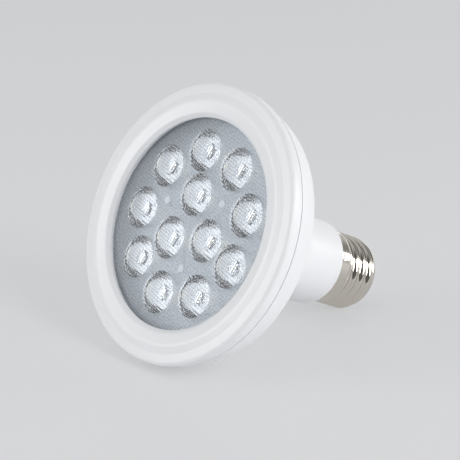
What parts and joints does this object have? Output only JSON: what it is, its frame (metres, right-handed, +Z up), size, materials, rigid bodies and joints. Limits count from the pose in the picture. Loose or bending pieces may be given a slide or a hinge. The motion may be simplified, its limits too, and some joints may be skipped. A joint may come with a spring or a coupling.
{
  "type": "par spotlight bulb",
  "caption": "White reflector spotlight lamp with a stepped round bezel, a clear plate of collimating lenses over its light board, a bell-shaped housing and a screw cap.",
  "frame": {"origin": "centre of the underside of the lamp's box, on the surface that the lamp lies on", "axes": "+Z up; +Y runs level from the front face to the cap, and the lamp's axis lies in the YZ plane, dropping towards the cap; the lamp is symmetric about X = 0 apart from its lenses and its driver"},
  "size_m": [0.0948, 0.1024, 0.0887],
  "materials": {
    "body_plastic": "satin white moulded polycarbonate",
    "lens_acrylic": "clear moulded acrylic with a fine prism texture",
    "board_white": "white solder mask on aluminium",
    "led_package": "white resin with a pale yellow phosphor",
    "screw_steel": "zinc plated",
    "sink_aluminium": "pressed, plain",
    "circuit_board": "green solder mask",
    "can_sleeve": "dark shrink sleeve",
    "ferrite": "sintered, matt",
    "coil_tape": "yellow winding tape",
    "film_box": "moulded box",
    "chip_resin": "moulded resin",
    "fuse_coat": "lacquer coat",
    "lead_white": "silicone insulation",
    "cap_nickel": "polished nickel plate on brass",
    "cap_black": "black moulded insulator"
  },
  "bodies": {
    "root": {"front_bezel": "body_plastic", "housing": "body_plastic", "lens_plate": "lens_acrylic", "light_board": "board_white", "led_01": "led_package", "led_02": "led_package", "led_03": "led_package", "led_04": "led_package", "led_05": "led_package", "led_06": "led_package", "led_07": "led_package", "led_08": "led_package", "led_09": "led_package", "led_10": "led_package", "led_11": "led_package", "led_12": "led_package", "board_screws": "screw_steel", "heat_sink": "sink_aluminium", "driver_board": "circuit_board", "bulk_capacitor": "can_sleeve", "output_capacitor": "can_sleeve", "transformer_core": "ferrite", "filter_choke": "ferrite", "transformer_coil": "coil_tape", "film_capacitor": "film_box", "bridge_rectifier": "chip_resin", "controller_chip": "chip_resin", "fuse_resistor": "fuse_coat", "light_lead_positive": "lead_white", "light_lead_negative": "lead_white", "neutral_lead": "lead_white", "live_lead": "lead_white", "cap_shell": "cap_nickel", "centre_contact": "cap_nickel", "cap_insulator": "cap_black"}
  },
  "joints": []
}
